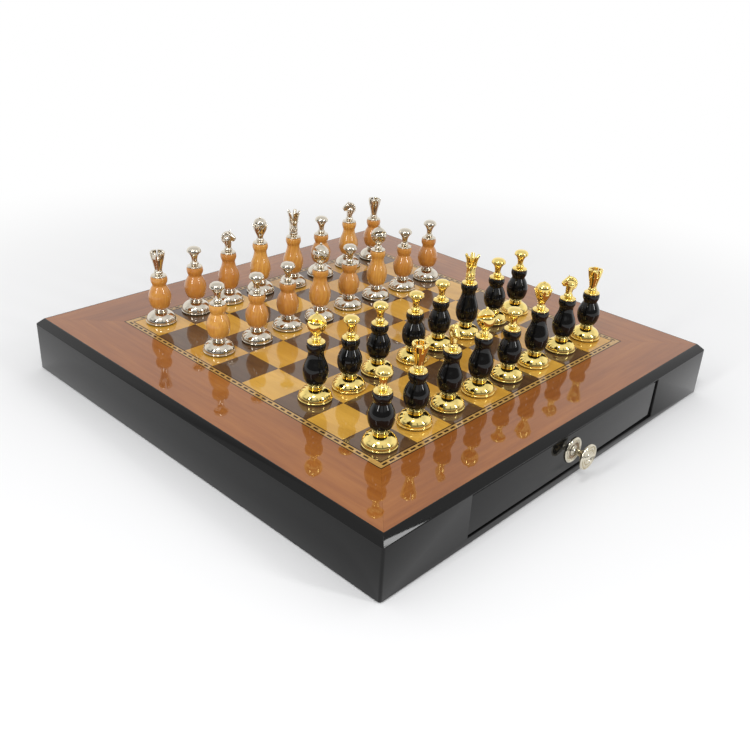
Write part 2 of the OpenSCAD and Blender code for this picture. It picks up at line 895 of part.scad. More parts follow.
function wood_of(kind) =
    kind == "p" ? pawn_wood : kind == "r" ? rook_wood :
    kind == "n" || kind == "b" ? minor_wood : royal_wood;

// Pawns and rooks have ball-shaped bellies, the taller men pears
function shoulder_of(kind) = kind == "p" || kind == "r" ? 1.8 : 0.2;

module man(n) {
    kind = men[n][1];
    f = men[n][2];
    r = men[n][3];
    step = men[n][4];
    gold = men[n][0] == "gold";
    wood_h = wood_of(kind);
    translate([square_mid(f) + step[0], square_mid(r) + step[1], board_z])
        rotate(look_of(f, r)) {
            pad();
            color(gold ? "#e8c860" : "#d9d5cc")
                foot();
            color(gold ? "#1a1816" : "#cd9148")
                wood(wood_h, shoulder_of(kind));
            color(gold ? "#e8c860" : "#d9d5cc")
                head(kind, foot_h + wood_h);
        }
}

// ---- what is drawn ----

base_felt();
base_panel();
side_left();
side_right();
front_frame();
back_frame();
centre_divider();
drawer_guides();
top_panel();
field_veneer();
banding_dark();
banding_pale();
dark_squares();
light_squares();
front_drawer_face();
front_drawer_walls();
front_drawer_bottom();
front_drawer_lining();
front_drawer_strips();
front_knob_plate();
front_knob();
rear_drawer_face();
rear_drawer_walls();
rear_drawer_bottom();
rear_drawer_lining();
rear_drawer_strips();
rear_knob_plate();
rear_knob();
for (n = [0 : len(men) - 1])
    man(n);
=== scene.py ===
import json
import math
import bmesh
import bpy
from mathutils import Matrix, Vector


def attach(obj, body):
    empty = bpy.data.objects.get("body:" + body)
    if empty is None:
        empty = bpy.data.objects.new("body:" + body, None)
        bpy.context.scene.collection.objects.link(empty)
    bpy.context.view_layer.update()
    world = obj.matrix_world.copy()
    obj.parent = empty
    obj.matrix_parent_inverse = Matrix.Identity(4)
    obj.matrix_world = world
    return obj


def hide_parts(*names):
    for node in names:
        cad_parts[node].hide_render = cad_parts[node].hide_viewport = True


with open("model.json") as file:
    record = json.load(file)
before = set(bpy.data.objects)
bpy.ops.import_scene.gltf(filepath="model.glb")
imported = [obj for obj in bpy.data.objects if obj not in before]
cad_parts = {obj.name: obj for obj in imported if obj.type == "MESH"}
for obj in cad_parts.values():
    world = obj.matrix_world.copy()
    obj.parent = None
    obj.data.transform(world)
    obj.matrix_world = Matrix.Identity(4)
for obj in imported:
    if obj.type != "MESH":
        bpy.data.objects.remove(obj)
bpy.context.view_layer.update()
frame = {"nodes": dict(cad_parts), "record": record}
mm = 0.001
squareSide = 35.5   # millimetres


class Wire:
    # A socket in a node tree. Sums with wires add Math nodes; node() adds any other node.
    def __init__(self, tree, socket=None):
        self.tree = tree
        self.socket = socket

    def node(self, kind, settings=None, sockets=None, out=0):
        made = self.tree.nodes.new(kind)
        for name, value in (settings or {}).items():
            if name == "stops":
                ramp = made.color_ramp
                while len(ramp.elements) < len(value):
                    ramp.elements.new(0.5)
                for element, (spot, colour) in zip(ramp.elements, value):
                    element.position = spot
                    element.color = (*colour, 1)
            else:
                setattr(made, name, value)
        for name, value in (sockets or {}).items():
            if isinstance(value, Wire):
                self.tree.links.new(value.socket, made.inputs[name])
            else:
                made.inputs[name].default_value = value
        return Wire(self.tree, made.outputs[out])

    def sum(self, operation, *values):
        return self.node("ShaderNodeMath", {"operation": operation}, dict(enumerate(values)))

    def __add__(self, other):
        return self.sum("ADD", self, other)

    def __radd__(self, other):
        return self.sum("ADD", other, self)

    def __sub__(self, other):
        return self.sum("SUBTRACT", self, other)

    def __rsub__(self, other):
        return self.sum("SUBTRACT", other, self)

    def __mul__(self, other):
        return self.sum("MULTIPLY", self, other)

    def __rmul__(self, other):
        return self.sum("MULTIPLY", other, self)

    def __truediv__(self, other):
        return self.sum("DIVIDE", self, other)

    def __pow__(self, other):
        return self.sum("POWER", self, other)

    def floor(self):
        return self.sum("FLOOR", self)

    def sine(self):
        return self.sum("SINE", self)

    def size(self):
        return self.sum("ABSOLUTE", self)

    def over(self, other):
        return self.sum("GREATER_THAN", self, other)

    def most(self, other):
        return self.sum("MAXIMUM", self, other)

    # 0 below low, 1 above high, smooth between
    def between(self, low, high):
        return self.node("ShaderNodeMapRange", {"interpolation_type": "SMOOTHSTEP"},
                         {"Value": self, "From Min": low, "From Max": high})

    # sockets 6, 7 and 2 are the Mix node's colour ones
    def mixed(self, first, second):
        return self.node("ShaderNodeMix", {"data_type": "RGBA"}, {0: self, 6: first, 7: second}, 2)

    def axes(self):
        return [self.node("ShaderNodeSeparateXYZ", None, {"Vector": self}, k) for k in "XYZ"]

    def ramp(self, stops):
        return self.node("ShaderNodeValToRGB", {"stops": stops}, {"Fac": self})


def rgb(r, g, b):
    # a screen colour, 0 to 255, as a linear one
    return tuple((v / 255 / 12.92) if v <= 10 else ((v / 255 + 0.055) / 1.055) ** 2.4
                 for v in (r, g, b)) + (1,)


def newFinish(name):
    material = bpy.data.materials.new(name)
    material.use_nodes = True
    material.node_tree.nodes.clear()
    return material, Wire(material.node_tree)


def closeFinish(start, shader):
    out = start.tree.nodes.new("ShaderNodeOutputMaterial")
    start.tree.links.new(shader.socket, out.inputs["Surface"])


def place(start, size=(1, 1, 1)):
    # Object coordinates in metres, squeezed for a pattern
    coords = start.node("ShaderNodeTexCoord", None, None, "Object")
    return start.node("ShaderNodeMapping", None, {"Vector": coords, "Scale": size})


# a number of its own for every square, from 0 to 1
def ownNumber(cells, a, b):
    spot = cells[0].node("ShaderNodeCombineXYZ", None, {"X": cells[0] * a, "Y": cells[1] * b})
    return spot.node("ShaderNodeTexWhiteNoise", {"noise_dimensions": "2D"}, {"Vector": spot})


def noise(vector, scale, detail=3, roughness=0.5, distortion=0):
    return vector.node("ShaderNodeTexNoise", None,
                       {"Vector": vector, "Scale": scale, "Detail": detail,
                        "Roughness": roughness, "Distortion": distortion})


def bumped(height, strength, distance):
    return height.node("ShaderNodeBump", None,
                       {"Height": height, "Strength": strength, "Distance": distance})


def gloss(start, **sockets):
    named = {name.replace("_", " "): value for name, value in sockets.items()}
    return start.node("ShaderNodeBsdfPrincipled", None, named)


lacquerLook = {
    "tint": (0.0045, 0.0045, 0.0044, 1),
    "scuff": (0.05, 0.05, 0.049, 1),
}


def blackLacquer(name, tint, roughness, mirror):
    material, start = newFinish(name)
    at = place(start)
    ripple = noise(at, 70, 2)
    smear = noise(at, 30, 3, 0.6)
    dust = noise(at, 2600, 1).between(0.74, 0.8)
    shader = gloss(start, Base_Color=(dust * 0.3).mixed(tint, lacquerLook["scuff"]),
                   Roughness=roughness + smear * 0.04 + dust * 0.2, Specular_IOR_Level=mirror,
                   Normal=bumped(ripple, 0.03, 0.001))
    closeFinish(start, shader)
    return material


# the clear lacquer over the field and the squares: a hard even coat over matt wood
def lacquered(start, colour, relief, strength):
    return gloss(start, Base_Color=colour, Roughness=0.5, Coat_Weight=1.0, Coat_Roughness=0.02,
                 Coat_IOR=1.47, Specular_IOR_Level=0.1, Normal=bumped(relief, strength, 0.0003))


fieldLook = {
    "stops": [(0.34, (0.215, 0.062, 0.0085)), (0.48, (0.275, 0.084, 0.0120)),
              (0.58, (0.325, 0.107, 0.0165)), (0.72, (0.385, 0.140, 0.0250))],
    "pore": (0.16, 0.045, 0.008, 1),
}


def fieldVeneer(name):
    material, start = newFinish(name)
    x, y = place(start).axes()[:2]
    # the grain runs along each strip, so it turns at the mitres
    turned = x.size().over(y.size())
    along = x + turned * (y - x)
    across = y + turned * (x - y)
    strip = turned * 0.7 + across.over(0) * 0.31

    def grainAt(squeeze):
        return start.node("ShaderNodeCombineXYZ", None, {"X": along * squeeze, "Y": across, "Z": strip})
    cloud = noise(grainAt(0.35), 16, 3, 0.55, 0.4)
    rings = noise(grainAt(0.07), 230, 4, 0.6, 0.3)
    pores = noise(grainAt(0.035), 1700, 2, 0.7).between(0.56, 0.74)
    fill = rings * 0.42 + cloud * 0.62
    colour = (pores * 0.3).mixed(fill.ramp(fieldLook["stops"]), fieldLook["pore"])
    closeFinish(start, lacquered(start, colour, pores, 0.12))
    return material


squareLook = {
    "dark": {"stops": [(0.30, (0.062, 0.0270, 0.0105)), (0.50, (0.100, 0.0480, 0.0190)),
                       (0.66, (0.138, 0.0700, 0.0290)), (0.90, (0.185, 0.0980, 0.0420))],
             "pore": (0.02, 0.009, 0.004, 1)},
    "light": {"stops": [(0.30, (0.52, 0.250, 0.030)), (0.50, (0.63, 0.330, 0.044)),
                        (0.66, (0.72, 0.400, 0.062)), (0.90, (0.80, 0.480, 0.100))],
              "pore": (0.36, 0.155, 0.018, 1)},
}


def squareVeneer(name, look):
    material, start = newFinish(name)
    coords = place(start)
    cells = [(part / (squareSide * mm)).floor() for part in coords.axes()[:2]]
    # every square is its own leaf: its grain is shifted and tinted
    leaf = start.node("ShaderNodeCombineXYZ", None, {"X": cells[0] * 7.3, "Y": cells[1] * 3.1})
    shift = start.node("ShaderNodeVectorMath", {"operation": "ADD"}, {0: coords, 1: leaf})

    def grainAt(turn, squeeze):
        return start.node("ShaderNodeMapping", None, {
            "Vector": shift, "Rotation": (0, 0, math.radians(turn)), "Scale": (1, squeeze, 1)})
    grain = noise(grainAt(4, 0.08), 190, 4, 0.6, 0.3)
    figure = noise(grainAt(38, 0.4), 60, 2, 0.5, 0.8)
    pores = noise(grainAt(4, 0.045), 1700, 2, 0.7).between(0.58, 0.74)
    fill = grain * 0.38 + figure * 0.38 + ownNumber(cells, 7.3, 3.1) * 0.26
    colour = (pores * 0.3).mixed(fill.ramp(look["stops"]), look["pore"])
    closeFinish(start, lacquered(start, colour, grain, 0.08))
    return material


def bandVeneer(name, low, high, coat=1.0):
    material, start = newFinish(name)
    grain = noise(place(start), 420, 3, 0.6)
    shader = gloss(start, Base_Color=grain.mixed(low, high), Roughness=0.5, Coat_Weight=coat,
                   Coat_Roughness=0.02, Coat_IOR=1.5, Specular_IOR_Level=0.1,
                   Normal=bumped(grain, 0.1, 0.0002))
    closeFinish(start, shader)
    return material


def plainWood(name, low, high):
    material, start = newFinish(name)
    grain = noise(place(start, (0.08, 1, 1)), 220, 5, 0.6, 0.3)
    fine = noise(place(start, (0.08, 1, 1)), 1500, 2, 0.7)
    shader = gloss(start, Base_Color=(grain * 0.8 + fine * 0.3).mixed(low, high),
                   Roughness=0.5 + grain * 0.15, Normal=bumped(fine, 0.2, 0.0003))
    closeFinish(start, shader)
    return material


woodLook = {
    "pale": (0.80, 0.43, 0.085, 1),
    "rich": (0.52, 0.190, 0.030, 1),
    "deep": (0.50, 0.175, 0.030, 1),
    "rings": 3100,     # radians in a metre
    "streaks": 620,
}


# gloss-coated turned wood: every man's grain and tone come from the square it stands on
def bodyWood(name):
    material, start = newFinish(name)
    side = squareSide * mm
    x, y, z = place(start).axes()
    cells = [(x / side).floor(), (y / side).floor()]
    tone, lean, slant = [ownNumber(cells, a, b) for a, b in ((7.3, 3.1), (9.1, 5.7), (4.7, 6.1))]
    # rings round a heart that lies off the man's own axis and leans, so they show as long flames
    heartX = x - (cells[0] + 0.5) * side + (lean - 0.5) * 0.06 + z * (slant - 0.5) * 0.3
    heartY = y - (cells[1] + 0.5) * side + (slant - 0.5) * 0.06
    wander = noise(place(start, (1, 1, 0.3)), 90, 3, 0.55)
    ring = (heartX * heartX + heartY * heartY + 0.0001) ** 0.5 + wander * 0.006
    bands = (ring * woodLook["rings"]).sine() * 0.5 + 0.5
    streak = noise(place(start, (1, 1, 0.09)), woodLook["streaks"], 4, 0.62, 0.6)
    colour = (bands * 0.28 + streak * 1.1 - 0.25).mixed(woodLook["pale"], woodLook["rich"])
    colour = (tone * 0.75 + wander * 0.3 - 0.22).mixed(colour, woodLook["deep"])
    shader = gloss(start, Base_Color=colour, Roughness=0.4, Coat_Weight=1.0, Coat_Roughness=0.04,
                   Coat_IOR=1.5, Specular_IOR_Level=0.2)
    closeFinish(start, shader)
    return material


def felt(name, low, high):
    material, start = newFinish(name)
    at = place(start)
    fuzz = noise(at, 2500, 3, 0.8)
    patch = noise(at, 60, 2)
    shader = gloss(start, Base_Color=(fuzz * 0.7 + patch * 0.3).mixed(low, high), Roughness=0.95,
                   Sheen_Weight=0.4, Sheen_Roughness=0.5, Specular_IOR_Level=0.15,
                   Normal=bumped(fuzz, 0.6, 0.0006))
    closeFinish(start, shader)
    return material


# painted shade in the dish of the knob plate, under the knob's overhanging head, in metres
underKnobShadeLook = {
    "height": 0.023,            # of the knob's axis
    "hub": (0.0041, 0.0047),    # radii over which it starts
    "rim": (0.0060, 0.0073),    # and ends
    "plate": (0.2010, 0.2016),  # distance from the case's middle where it ends
    # the dark brown of the painted shade
    "colour": (0.20, 0.125, 0.06, 1),
    "strength": 0.85,
}


# darkens the plate's dish under the knob head towards a dark brown: painted shade, not wear
def paintedUnderKnobShade(start, colour):
    x, y, z = place(start).axes()
    z = z - underKnobShadeLook["height"]
    radius = (x * x + z * z) ** 0.5
    dish = radius.between(*underKnobShadeLook["hub"]) * (1 - radius.between(*underKnobShadeLook["rim"]))
    dish = dish * (1 - y.size().between(*underKnobShadeLook["plate"]))
    return (dish * underKnobShadeLook["strength"]).mixed(colour, underKnobShadeLook["colour"])


def plated(name, low, high, roughness, withKnobShade=False):
    material, start = newFinish(name)
    at = place(start)
    cloud = noise(at, 220, 3, 0.6)
    rub = noise(at, 900, 2, 0.6)
    colour = cloud.mixed(low, high)
    # the knob plate gets painted shade in its dish, under the knob head
    shader = gloss(start, Base_Color=paintedUnderKnobShade(start, colour) if withKnobShade else colour, Metallic=1.0,
                   Roughness=roughness + rub * 0.05, Normal=bumped(cloud, 0.05, 0.0008))
    closeFinish(start, shader)
    return material


finishes = {
    "black_lacquer": blackLacquer("blackLacquer", lacquerLook["tint"], 0.035, 0.26),
    "plain_wood": plainWood("plainWood", rgb(158, 120, 78), rgb(214, 180, 130)),
    "green_felt": felt("greenFelt", (0.006, 0.03, 0.012, 1), (0.02, 0.075, 0.035, 1)),
    "walnut_veneer": fieldVeneer("walnutVeneer"),
    "dark_veneer": bandVeneer("darkVeneer", (0.018, 0.008, 0.004, 1), (0.045, 0.020, 0.009, 1), 0.35),
    "pale_veneer": bandVeneer("paleVeneer", (0.42, 0.23, 0.055, 1), (0.60, 0.36, 0.11, 1)),
    "dark_squares": squareVeneer("darkSquares", squareLook["dark"]),
    "light_squares": squareVeneer("lightSquares", squareLook["light"]),
    "dark_bodies": blackLacquer("blackBodies", (0.0045, 0.0043, 0.0042, 1), 0.01, 0.36),
    "light_bodies": bodyWood("goldenBodies"),
    "knob_metal": plated("knobMetal", (0.62, 0.57, 0.46, 1), (0.78, 0.73, 0.60, 1), 0.10, True),
    "gold_men": plated("goldPlate", (0.90, 0.68, 0.20, 1), (1.0, 0.80, 0.30, 1), 0.04),
    "silver_men": plated("nickelPlate", (0.62, 0.56, 0.46, 1), (0.78, 0.72, 0.61, 1), 0.05),
}

for part in frame["record"]["subparts"]:
    node = frame["nodes"][part["node"]]
    node.data.materials.clear()
    node.data.materials.append(finishes[part["material_slot"]])
print("finishes on the solids")


scene = bpy.context.scene
scene.view_settings.view_transform = "Standard"

cameraLook = {
    "place": (-0.50211, -0.46300, 0.35722),
    "turn": (62.6657, -2.9195, -45.9612),
    "focal": 890.79,   # in pixels of the square frame
    "frame": 750,
    "sensor": 36,      # millimetres
}


def addCamera():
    lens = bpy.data.cameras.new("photoCamera")
    lens.sensor_width = cameraLook["sensor"]
    lens.lens = cameraLook["focal"] / cameraLook["frame"] * lens.sensor_width
    lens.clip_start = 0.01
    lens.clip_end = 60
    camera = bpy.data.objects.new("photoCamera", lens)
    camera.location = cameraLook["place"]
    camera.rotation_euler = [math.radians(a) for a in cameraLook["turn"]]
    scene.collection.objects.link(camera)
    scene.camera = camera


lightLook = {
    "room": 0.70,            # what the studio gives to matt surfaces
    "dim": 0.17,             # its dark parts, as gloss and metal show them
    "away": (0.735, 0.678),  # from the camera's side to the far side
    "leftward": (-0.678, 0.735),
    "turnOver": 0.3,         # how softly one side goes over into the other
    "farDim": (0.45, 0.75, 0.3),  # height where the far side's white fades, and by how much
    "overhead": (0.66, 0.80),     # height where the white ceiling starts on the near side
    "panels": (0.28, 0.42),       # and the white panels under it, between dark gaps
    "panelWhite": 0.75,
    "overheadWhite": 0.92,
    # the dark gaps between the panels: from and to, in radians to the left of the camera
    "gaps": [(-1.35, -1.15), (-0.42, -0.28), (0.28, 0.95), (1.55, 1.75)],
    "gapBlur": 0.04,
    "floorSize": 40,         # metres
    "floor": (0.93, 0.932, 0.938, 1),
    "floorWhite": (0.30, 0.70),   # metres from the middle over which the floor turns white
    # azimuth in degrees, elevation, distance, width and height of the panel, radiance
    "lamps": [
        (187.6, 33, 1.4, 0.12, 0.62, 17),
        (-77.3, 30, 1.4, 0.13, 0.60, 15),
        (209.4, 60, 1.4, 0.22, 0.22, 18),
    ],
}


def whatShows(start):
    # camera rays alone, and camera, mirror and glass rays together
    camera, glossy, glass = [start.node("ShaderNodeLightPath", None, None, "Is %s Ray" % kind)
                             for kind in ("Camera", "Glossy", "Transmission")]
    return camera, camera.most(glossy).most(glass)


def addWorld():
    world = bpy.data.worlds.new("studio")
    scene.world = world
    world.use_nodes = True
    world.node_tree.nodes.clear()
    start = Wire(world.node_tree)
    camera, seen = whatShows(start)
    x, y, up = start.node("ShaderNodeTexCoord", None, None, "Generated").axes()
    away = x * lightLook["away"][0] + y * lightLook["away"][1]
    side = away.between(-lightLook["turnOver"], lightLook["turnOver"])
    low, high, loss = lightLook["farDim"]
    far = 1 - up.between(low, high) * loss
    # on the camera's side it is dark up to the panels, which stand round it with gaps
    across = x * lightLook["leftward"][0] + y * lightLook["leftward"][1]
    azimuth = across.sum("ARCTAN2", across, away * -1)
    panel = up.between(*lightLook["panels"]) * lightLook["panelWhite"]
    blur = lightLook["gapBlur"]
    for begin, end in lightLook["gaps"]:
        panel = panel * (1 - azimuth.between(begin - blur, begin + blur)
                         * (1 - azimuth.between(end - blur, end + blur)))
    near = panel.most(up.between(*lightLook["overhead"]) * lightLook["overheadWhite"])
    white = (near + side * (far - near)).most(camera)
    shown = lightLook["dim"] + (1 - lightLook["dim"]) * white
    strength = seen * shown + (1 - seen) * lightLook["room"]
    back = start.node("ShaderNodeBackground", None, {"Color": (1, 1, 1, 1), "Strength": strength})
    out = start.tree.nodes.new("ShaderNodeOutputWorld")
    start.tree.links.new(back.socket, out.inputs["Surface"])


def addLamp(index, azimuth, elevation, distance, width, height, radiance):
    azimuth, elevation = math.radians(azimuth), math.radians(elevation)
    lamp = bpy.data.lights.new("panel%d" % index, "AREA")
    lamp.shape = "RECTANGLE"
    lamp.size, lamp.size_y = width, height
    lamp.energy = radiance * math.pi * width * height
    holder = bpy.data.objects.new("panel%d" % index, lamp)
    holder.location = (distance * math.cos(elevation) * math.cos(azimuth),
                       distance * math.cos(elevation) * math.sin(azimuth), distance * math.sin(elevation))
    holder.rotation_euler = (-holder.location).to_track_quat("-Z", "Y").to_euler()
    scene.collection.objects.link(holder)


def addFloor():
    bpy.ops.object.select_all(action="DESELECT")
    bpy.ops.mesh.primitive_plane_add(size=lightLook["floorSize"], location=(0, 0, 0))
    floor = bpy.context.object
    floor.name = "studioFloor"
    material, start = newFinish("studioFloor")
    seen = whatShows(start)[1]
    distance = start.node("ShaderNodeVectorMath", {"operation": "LENGTH"}, {0: place(start)}, "Value")
    matt = start.node("ShaderNodeBsdfDiffuse", None, {"Color": lightLook["floor"]})
    glow = start.node("ShaderNodeEmission", None, {"Color": (1, 1, 1, 1), "Strength": 1.0})
    far = distance.between(*lightLook["floorWhite"]) * seen
    closeFinish(start, start.node("ShaderNodeMixShader", None, {0: far, 1: matt, 2: glow}))
    floor.data.materials.append(material)


addCamera()
addWorld()
for index, lamp in enumerate(lightLook["lamps"]):
    addLamp(index, *lamp)
addFloor()
print("camera, floor and light")


def startFresh():
    # the frame leaves its solids selected, and a new primitive is selected all over
    if bpy.context.object and bpy.context.object.mode != "OBJECT":
        bpy.ops.object.mode_set(mode="OBJECT")
    bpy.ops.object.select_all(action="DESELECT")


def nameIt(name):
    piece = bpy.context.object
    piece.name = name
    piece.data.name = name
    return piece


def onlySelect(*pieces):
    bpy.ops.object.select_all(action="DESELECT")
    for piece in pieces:
        piece.select_set(True)
    bpy.context.view_layer.objects.active = pieces[0]


# picks faces, edges or vertices in edit mode by a test on their middle and normal or run
def pick(kind, test):
    bpy.ops.mesh.select_mode(type=kind)
    bpy.ops.mesh.select_all(action="DESELECT")
    mesh = bmesh.from_edit_mesh(bpy.context.object.data)
    for item in {"FACE": mesh.faces, "EDGE": mesh.edges, "VERT": mesh.verts}[kind]:
        if kind == "FACE":
            middle, along = item.calc_center_median(), item.normal
        elif kind == "EDGE":
            ends = [v.co for v in item.verts]
            middle, along = (ends[0] + ends[1]) / 2, (ends[1] - ends[0]).normalized()
        else:
            middle, along = item.co, item.normal
        if test(middle, along):
            item.select_set(True)
    mesh.select_flush_mode()
    bmesh.update_edit_mesh(bpy.context.object.data)


def finish(piece, kind, **settings):
    onlySelect(piece)
    bpy.ops.object.modifier_add(type=kind)
    added = piece.modifiers[-1]
    for name, value in settings.items():
        setattr(added, name, value)
    bpy.ops.object.modifier_apply(modifier=added.name)


def smoothBy(piece, angle):
    onlySelect(piece)
    bpy.ops.object.shade_smooth_by_angle(angle=math.radians(angle))


def block(name, low, high):
    # a box between two corners in millimetres
    startFresh()
    middle = [(a + b) / 2 * mm for a, b in zip(low, high)]
    bpy.ops.mesh.primitive_cube_add(size=1, location=middle)
    bpy.context.object.scale = [(b - a) * mm for a, b in zip(low, high)]
    bpy.ops.object.transform_apply(location=True, rotation=True, scale=True)
    return nameIt(name)


def carve(piece, *tools, operation="DIFFERENCE"):
    for tool in tools:
        finish(piece, "BOOLEAN", object=tool, operation=operation, solver="EXACT")
        bpy.data.objects.remove(tool)


# a curve pulled towards q and r on its way from p to s; points are (radius, height)
def bow(p, q, r, s, steps=8):
    points = []
    for k in range(1, steps + 1):
        t = k / steps
        weights = ((1 - t) ** 3, 3 * (1 - t) ** 2 * t, 3 * (1 - t) * t * t, t ** 3)
        points.append(tuple(sum(w * point[i] for w, point in zip(weights, (p, q, r, s)))
                            for i in (0, 1)))
    return points


# a half-round bead on an upright neck, from low to high
def bead(radius, low, high, swell, steps=6):
    return [(radius + swell * math.sin(math.pi * k / steps),
             (low + high) / 2 - (high - low) / 2 * math.cos(math.pi * k / steps))
            for k in range(steps + 1)]


# spins an outline of (radius, height) in millimetres about Z
def turned(name, outline, steps=56):
    startFresh()
    bpy.ops.mesh.primitive_plane_add(size=mm)
    piece = nameIt(name)
    bpy.ops.object.mode_set(mode="EDIT")
    bpy.ops.mesh.select_mode(type="VERT")
    bpy.ops.mesh.select_all(action="SELECT")
    bpy.ops.mesh.merge(type="CENTER")
    bpy.ops.transform.translate(value=(outline[0][0] * mm, 0, outline[0][1] * mm))
    for (r0, z0), (r1, z1) in zip(outline, outline[1:]):
        bpy.ops.mesh.extrude_vertices_move(
            TRANSFORM_OT_translate={"value": ((r1 - r0) * mm, 0, (z1 - z0) * mm)})
    bpy.ops.mesh.select_all(action="SELECT")
    bpy.ops.mesh.spin(steps=steps, angle=2 * math.pi, center=(0, 0, 0), axis=(0, 0, 1))
    bpy.ops.mesh.select_all(action="SELECT")
    bpy.ops.mesh.remove_doubles(threshold=0.002 * mm)
    bpy.ops.mesh.normals_make_consistent(inside=False)
    bpy.ops.object.mode_set(mode="OBJECT")
    return piece


def joined(name, pieces):
    onlySelect(*pieces)
    bpy.ops.object.join()
    return nameIt(name)


# says what a finished piece is made of, what it rides on and which solids it stands for
def ready(piece, slot, body, *nodes):
    piece.data.materials.clear()
    piece.data.materials.append(finishes[slot])
    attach(piece, body)
    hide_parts(*nodes)


# a copy with a mesh of its own, put in place
def setDown(source, name, at, body, slot, nodes):
    piece = source.copy()
    piece.data = source.data.copy()
    piece.name = name
    piece.data.name = name
    piece.data.transform(at)
    scene.collection.objects.link(piece)
    ready(piece, slot, body, *nodes)


# the measures of the pieces from here on are in millimetres
caseLook = {
    "half": 200, "low": 1, "top": 46, "corner": 2, "chamfer": 5.3,
    "recessHalf": 194, "recess": 0.8, "cavityHalf": 188, "ceiling": 39.9,
    "openHalf": 119.2, "openLow": 6, "edge": 0.12,
}


def makeCase():
    half, top, spare = caseLook["half"], caseLook["top"], 3
    shell = block("lacquerCase", (-half, -half, caseLook["low"]), (half, half, top + spare))
    bpy.ops.object.mode_set(mode="EDIT")
    pick("EDGE", lambda middle, along: abs(along.z) > 0.9)
    bpy.ops.mesh.bevel(offset=caseLook["corner"] * mm, segments=6, profile=0.5, affect="EDGES")
    bpy.ops.object.mode_set(mode="OBJECT")
    # the slopes of the top come from a wider block with the same chamfer
    slopes = block("slopes", (-half - spare, -half - spare, -spare), (half + spare, half + spare, top))
    bpy.ops.object.mode_set(mode="EDIT")
    pick("EDGE", lambda middle, along: middle.z > (top - 0.1) * mm)
    bpy.ops.mesh.bevel(offset=(caseLook["chamfer"] + spare) * mm, segments=1, affect="EDGES")
    bpy.ops.object.mode_set(mode="OBJECT")
    carve(shell, slopes, operation="INTERSECT")
    inset, cavity, wide = caseLook["recessHalf"], caseLook["cavityHalf"], caseLook["openHalf"]
    ceiling, openLow = caseLook["ceiling"], caseLook["openLow"]
    carve(shell,
          block("recess", (-inset, -inset, top - caseLook["recess"]), (inset, inset, top + spare)),
          block("cavity", (-cavity, -cavity, -spare), (cavity, cavity, ceiling)),
          block("openings", (-wide, -half - spare, openLow), (wide, half + spare, ceiling)))
    finish(shell, "BEVEL", width=caseLook["edge"] * mm, segments=2, limit_method="ANGLE",
           angle_limit=math.radians(30))
    smoothBy(shell, 35)
    ready(shell, "black_lacquer", "case",
          "side_left", "side_right", "front_frame", "back_frame", "top_panel")


drawerLook = {
    "half": 118.7, "front": 199, "back": 187, "low": 6.5, "high": 38.6, "edge": 1.1,
    "knobHeight": 23, "screwHole": 2.1,
    # outlines from the face outwards, as (radius, height)
    "plate": [(3.3, 0), (9.7, 0), (10.1, 0.35), (10.0, 0.9), (9.6, 1.35), (9.0, 1.5), (8.4, 1.3),
              (8.1, 0.85), (7.9, 0.35), (7.5, 0.25), (7.2, 0.5), (7.0, 1.05), (6.7, 1.45), (6.3, 1.5),
              (5.95, 1.2), (5.7, 0.7), (5.2, 0.3), (4.6, 0.2), (4.2, 0.35), (4.05, 0.9), (3.9, 1.4),
              (3.6, 1.6), (3.3, 1.5), (3.3, 0)],
    "knob": [(0, 8.05), (2.1, 8.05), (2.1, 0), (3.2, 0), (3.2, 1.0), (3.05, 1.5), (2.7, 2.0), (2.45, 2.7),
             (2.4, 3.6), (2.45, 5.2), (2.6, 6.6), (2.9, 7.8), (3.5, 8.9), (4.6, 9.8), (6.2, 10.5),
             (8.0, 11.0), (9.3, 11.5), (9.85, 12.0), (10, 12.6), (9.95, 13.2), (9.7, 13.7), (9.25, 13.9),
             (8.85, 13.8), (8.6, 13.3), (8.4, 12.6), (8.05, 12.3), (7.7, 12.5), (7.45, 13.2), (7.2, 13.75),
             (6.75, 13.95), (6.3, 13.75), (6.1, 13.2), (5.85, 12.7), (5.5, 12.6), (5.2, 12.9), (5.05, 13.5),
             (4.75, 13.95), (4.3, 14.05), (3.9, 13.8), (3.7, 13.3), (3.4, 13.05), (3.05, 13.2),
             (2.8, 13.7), (2.2, 14.2), (1.2, 14.45), (0, 14.5)],
    "screw": [(0, -14.2), (3.5, -14.2), (3.9, -14), (4, -13.6), (4, -12), (2, -12), (2, 7.05), (0, 7.05)],
}


